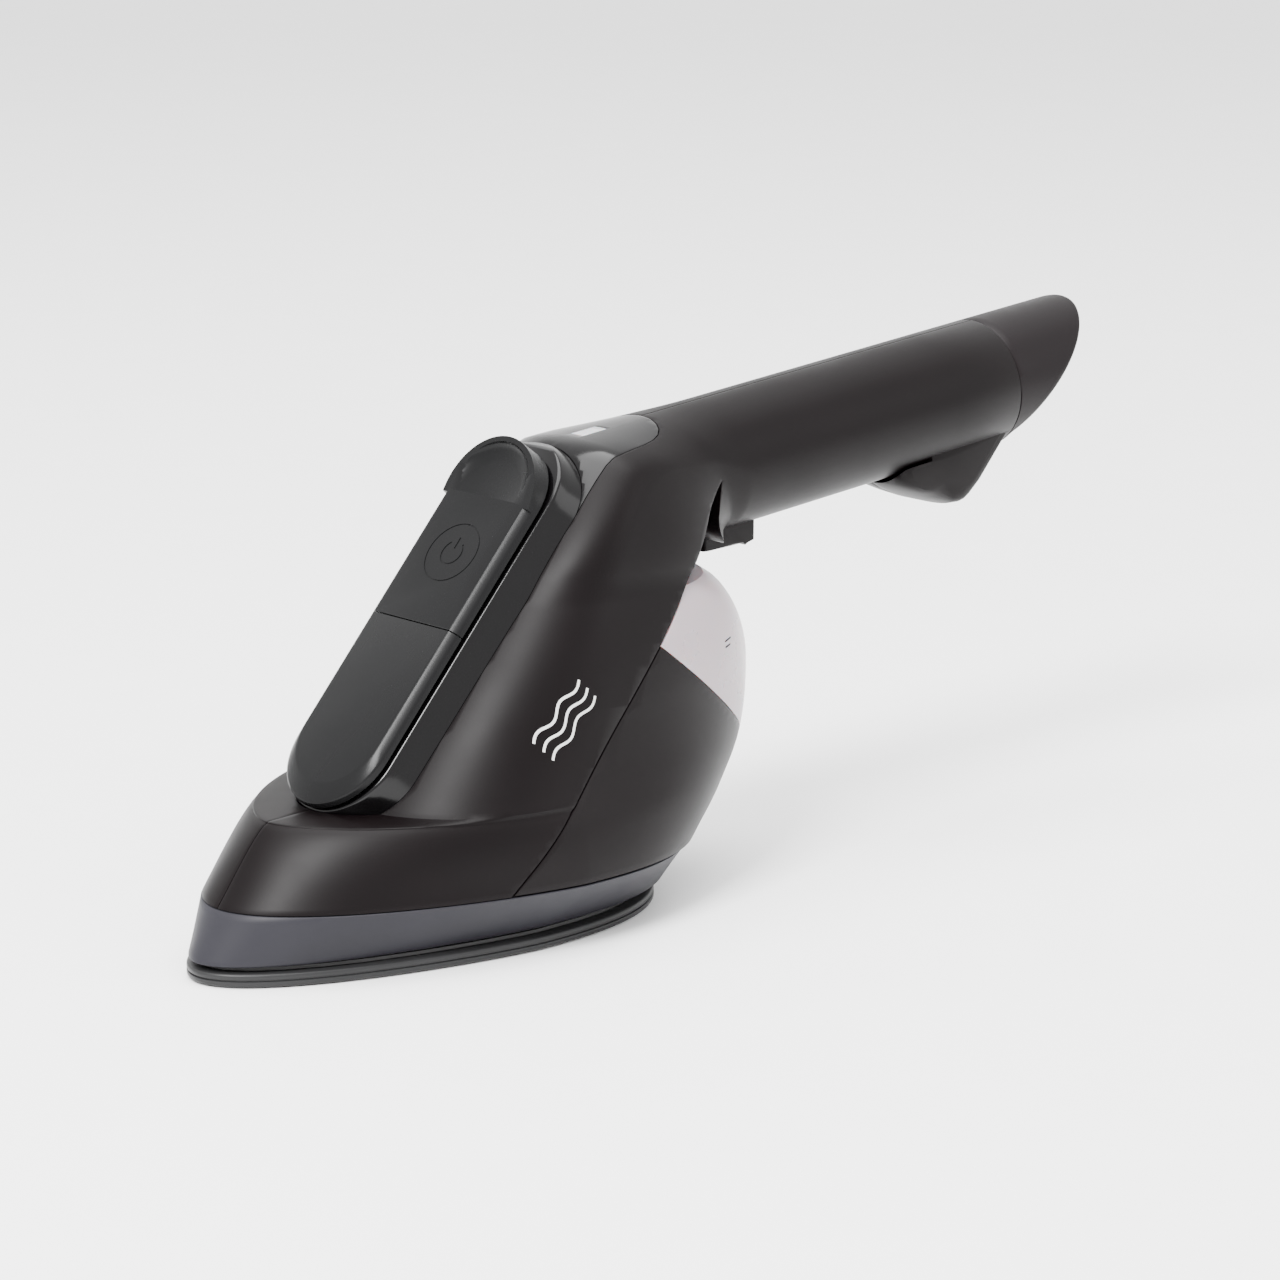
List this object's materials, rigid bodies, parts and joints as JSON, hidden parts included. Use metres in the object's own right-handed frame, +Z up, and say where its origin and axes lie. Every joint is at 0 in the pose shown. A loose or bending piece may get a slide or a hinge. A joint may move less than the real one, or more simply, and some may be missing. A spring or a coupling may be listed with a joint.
{
  "type": "hand steam iron",
  "caption": "Compact hand-held steam iron with a pointed soleplate, tubular rear handle, sloping control panel and a removable translucent water tank.",
  "frame": {"origin": "middle of the soleplate's flat ironing face", "axes": "+X from the toe towards the handle's tail, +Y to the right of someone holding it, +Z up away from the ironing face"},
  "size_m": [0.3156, 0.0944, 0.1389],
  "materials": {
    "sole_metal": "satin, dark coated",
    "cast_metal": "as cast",
    "steel": "plain",
    "grey_plastic": "fine grain",
    "matte_black": "fine grain",
    "tail_black": "fine grain",
    "gloss_black": "polished",
    "panel_black": "satin gloss",
    "rubber": "soft",
    "silicone": "translucent",
    "clear_plastic": "translucent",
    "smoked_clear": "clear",
    "board_green": "fibreglass",
    "white_plastic": "plain",
    "switch_blue": "plain"
  },
  "bodies": {
    "housing": {"soleplate": "sole_metal", "sole_gasket": "rubber", "steam_chamber": "cast_metal", "steam_chamber_lid": "steel", "heating_element": "steel", "heat_shield_skirt": "grey_plastic", "sole_screw_1": "steel", "sole_screw_2": "steel", "sole_screw_3": "steel", "left_housing": "matte_black", "right_housing": "matte_black", "housing_screw_1": "steel", "housing_screw_2": "steel", "housing_screw_3": "steel", "end_cap": "tail_black", "cord_gland": "rubber", "panel_frame": "gloss_black", "panel_cover": "panel_black", "button_spring": "steel", "top_strip": "gloss_black", "indicator_window": "smoked_clear", "indicator_led": "white_plastic", "trigger_pin": "steel", "trigger_spring": "steel", "trigger_switch": "switch_blue", "water_pump": "white_plastic", "inlet_nozzle": "white_plastic", "water_hose": "silicone", "steam_feed_hose": "silicone", "circuit_board": "board_green", "thermostat": "steel", "thermal_fuse": "white_plastic", "mains_terminal_block": "white_plastic"},
    "power_button": {"power_button": "panel_black"},
    "steam_trigger": {"steam_trigger": "matte_black"},
    "water_tank": {"water_tank": "clear_plastic", "tank_base": "matte_black", "tank_seal": "silicone"},
    "filler_flap": {"filler_flap": "rubber"}
  },
  "joints": [
    {"name": "power_button_press", "type": "slide", "parent": "housing", "child": "power_button", "axis": [0.7443, 0, -0.6678], "range_m": [0, 0.0007], "stiffness_N_per_m": 1500, "springref_m": -0.0006, "deforming": ["button_spring"]},
    {"name": "steam_trigger_pull", "type": "hinge", "parent": "housing", "child": "steam_trigger", "pos_m": [0.0996, 0, 0.09312], "axis": [0, -1, 0], "range_deg": [0, 5.5], "stiffness_Nm_per_rad": 0.3, "springref_deg": -4.58, "deforming": ["trigger_spring"]},
    {"name": "water_tank_slide", "type": "slide", "parent": "housing", "child": "water_tank", "axis": [1, 0, 0], "range_m": [0, 0.028]},
    {"name": "filler_flap_open", "type": "hinge", "parent": "water_tank", "child": "filler_flap", "pos_m": [0.1069, 0, 0.054], "axis": [0, 1, 0], "range_deg": [0, 100]}
  ]
}
